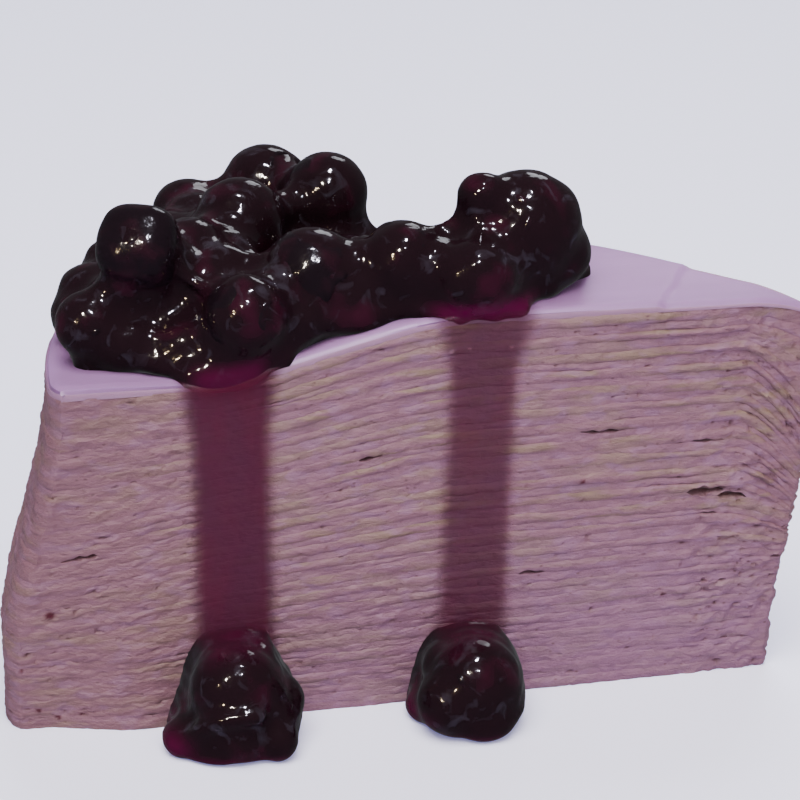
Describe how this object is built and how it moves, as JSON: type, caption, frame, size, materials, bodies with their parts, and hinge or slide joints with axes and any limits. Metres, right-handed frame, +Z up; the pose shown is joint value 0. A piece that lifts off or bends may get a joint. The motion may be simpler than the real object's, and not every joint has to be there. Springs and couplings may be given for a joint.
{
  "type": "crepe cake slice",
  "caption": "Wedge of lavender layered crepe cake with a smooth cream coat, dark glazed berries heaped on the rim end and syrup running down one cut face.",
  "frame": {"origin": "on the flat underside, below the middle of the wedge", "axes": "+Z up; +X along the front cut face from the rim to the tip; +Y from the front cut face to the far one"},
  "size_m": [0.1086, 0.0896, 0.0717],
  "materials": {
    "crepe": "matt, finely pitted",
    "cream": "soft matt",
    "coat": "smooth, slightly satin",
    "berry": "wet gloss",
    "syrup": "wet gloss, see-through where thin"
  },
  "bodies": {
    "root": {"crepe_01": "crepe", "crepe_02": "crepe", "crepe_03": "crepe", "crepe_04": "crepe", "crepe_05": "crepe", "crepe_06": "crepe", "crepe_07": "crepe", "crepe_08": "crepe", "crepe_09": "crepe", "crepe_10": "crepe", "crepe_11": "crepe", "crepe_12": "crepe", "crepe_13": "crepe", "crepe_14": "crepe", "crepe_15": "crepe", "crepe_16": "crepe", "crepe_17": "crepe", "crepe_18": "crepe", "crepe_19": "crepe", "crepe_20": "crepe", "crepe_21": "crepe", "crepe_22": "crepe", "cream_01": "cream", "cream_02": "cream", "cream_03": "cream", "cream_04": "cream", "cream_05": "cream", "cream_06": "cream", "cream_07": "cream", "cream_08": "cream", "cream_09": "cream", "cream_10": "cream", "cream_11": "cream", "cream_12": "cream", "cream_13": "cream", "cream_14": "cream", "cream_15": "cream", "cream_16": "cream", "cream_17": "cream", "cream_18": "cream", "cream_19": "cream", "cream_20": "cream", "cream_21": "cream", "top_coat": "coat", "berry_01": "berry", "berry_02": "berry", "berry_03": "berry", "berry_04": "berry", "berry_05": "berry", "berry_06": "berry", "berry_07": "berry", "berry_08": "berry", "berry_09": "berry", "berry_10": "berry", "berry_11": "berry", "berry_12": "berry", "berry_13": "berry", "berry_14": "berry", "berry_15": "berry", "syrup": "syrup"}
  },
  "joints": []
}
